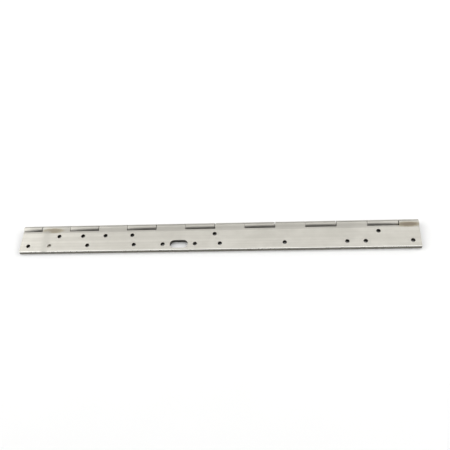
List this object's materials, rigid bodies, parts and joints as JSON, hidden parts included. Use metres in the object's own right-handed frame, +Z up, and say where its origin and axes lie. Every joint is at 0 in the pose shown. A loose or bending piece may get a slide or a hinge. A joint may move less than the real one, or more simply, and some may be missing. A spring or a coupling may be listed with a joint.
{
  "type": "piano hinge",
  "caption": "Heavy continuous hinge, closed: two slotted and drilled steel leaves with interleaved curled knuckles on one full-length pin.",
  "frame": {"origin": "centre of the bottom of the closed hinge's box, level with the lowest line of the barrel", "axes": "+X along the pin from the left end to the right end, +Y from the leaves' free edges towards the barrel, +Z up, square to the closed leaves"},
  "size_m": [0.6762, 0.054, 0.0126],
  "materials": {
    "leaf_steel": "satin, as rolled, with faint lengthwise grain",
    "pin_steel": "drawn wire, semi-bright",
    "weld": "rippled bead with a straw and grey heat tint"
  },
  "bodies": {
    "upper": {"upper_leaf": "leaf_steel", "hinge_pin": "pin_steel", "left_seam_weld": "weld", "right_seam_weld": "weld"},
    "lower": {"lower_leaf": "leaf_steel"}
  },
  "joints": [
    {"name": "leaf_swing", "type": "hinge", "parent": "upper", "child": "lower", "pos_m": [0, 0.02065, 0.0063], "axis": [1, 0, 0], "range_deg": [0, 270]}
  ]
}
